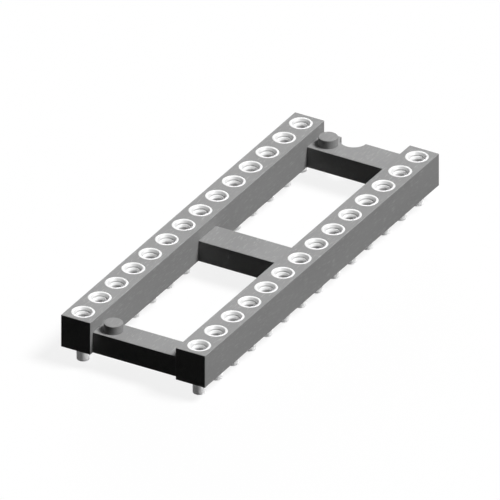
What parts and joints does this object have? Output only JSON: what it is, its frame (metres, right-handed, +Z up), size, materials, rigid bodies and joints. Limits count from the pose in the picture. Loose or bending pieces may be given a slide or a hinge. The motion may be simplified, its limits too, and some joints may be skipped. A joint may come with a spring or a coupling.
{
  "type": "dip socket",
  "caption": "Open-frame dip socket: a moulded ladder frame with a row of turned contacts in each rail, spring clips inside them and round solder stubs below; holds a plug-in chip.",
  "frame": {"origin": "middle of the footprint, on the board plane where the solder stubs end", "axes": "+X across from the first row to the second, +Y along the rows towards the notched end, +Z up"},
  "size_m": [0.0126, 0.0356, 0.0041],
  "materials": {
    "insulator": "grey glass-filled thermoplastic, moulded with a fine matt texture",
    "contact_sleeve": "turned brass, bright tin plate",
    "contact_clip": "beryllium copper spring sheet, bright tin plate"
  },
  "bodies": {
    "root": {"insulator_frame": "insulator", "contact_sleeve_01": "contact_sleeve", "contact_sleeve_02": "contact_sleeve", "contact_sleeve_03": "contact_sleeve", "contact_sleeve_04": "contact_sleeve", "contact_sleeve_05": "contact_sleeve", "contact_sleeve_06": "contact_sleeve", "contact_sleeve_07": "contact_sleeve", "contact_sleeve_08": "contact_sleeve", "contact_sleeve_09": "contact_sleeve", "contact_sleeve_10": "contact_sleeve", "contact_sleeve_11": "contact_sleeve", "contact_sleeve_12": "contact_sleeve", "contact_sleeve_13": "contact_sleeve", "contact_sleeve_14": "contact_sleeve", "contact_sleeve_15": "contact_sleeve", "contact_sleeve_16": "contact_sleeve", "contact_sleeve_17": "contact_sleeve", "contact_sleeve_18": "contact_sleeve", "contact_sleeve_19": "contact_sleeve", "contact_sleeve_20": "contact_sleeve", "contact_sleeve_21": "contact_sleeve", "contact_sleeve_22": "contact_sleeve", "contact_sleeve_23": "contact_sleeve", "contact_sleeve_24": "contact_sleeve", "contact_sleeve_25": "contact_sleeve", "contact_sleeve_26": "contact_sleeve", "contact_sleeve_27": "contact_sleeve", "contact_sleeve_28": "contact_sleeve", "contact_clip_01": "contact_clip", "contact_clip_02": "contact_clip", "contact_clip_03": "contact_clip", "contact_clip_04": "contact_clip", "contact_clip_05": "contact_clip", "contact_clip_06": "contact_clip", "contact_clip_07": "contact_clip", "contact_clip_08": "contact_clip", "contact_clip_09": "contact_clip", "contact_clip_10": "contact_clip", "contact_clip_11": "contact_clip", "contact_clip_12": "contact_clip", "contact_clip_13": "contact_clip", "contact_clip_14": "contact_clip", "contact_clip_15": "contact_clip", "contact_clip_16": "contact_clip", "contact_clip_17": "contact_clip", "contact_clip_18": "contact_clip", "contact_clip_19": "contact_clip", "contact_clip_20": "contact_clip", "contact_clip_21": "contact_clip", "contact_clip_22": "contact_clip", "contact_clip_23": "contact_clip", "contact_clip_24": "contact_clip", "contact_clip_25": "contact_clip", "contact_clip_26": "contact_clip", "contact_clip_27": "contact_clip", "contact_clip_28": "contact_clip"}
  },
  "joints": []
}
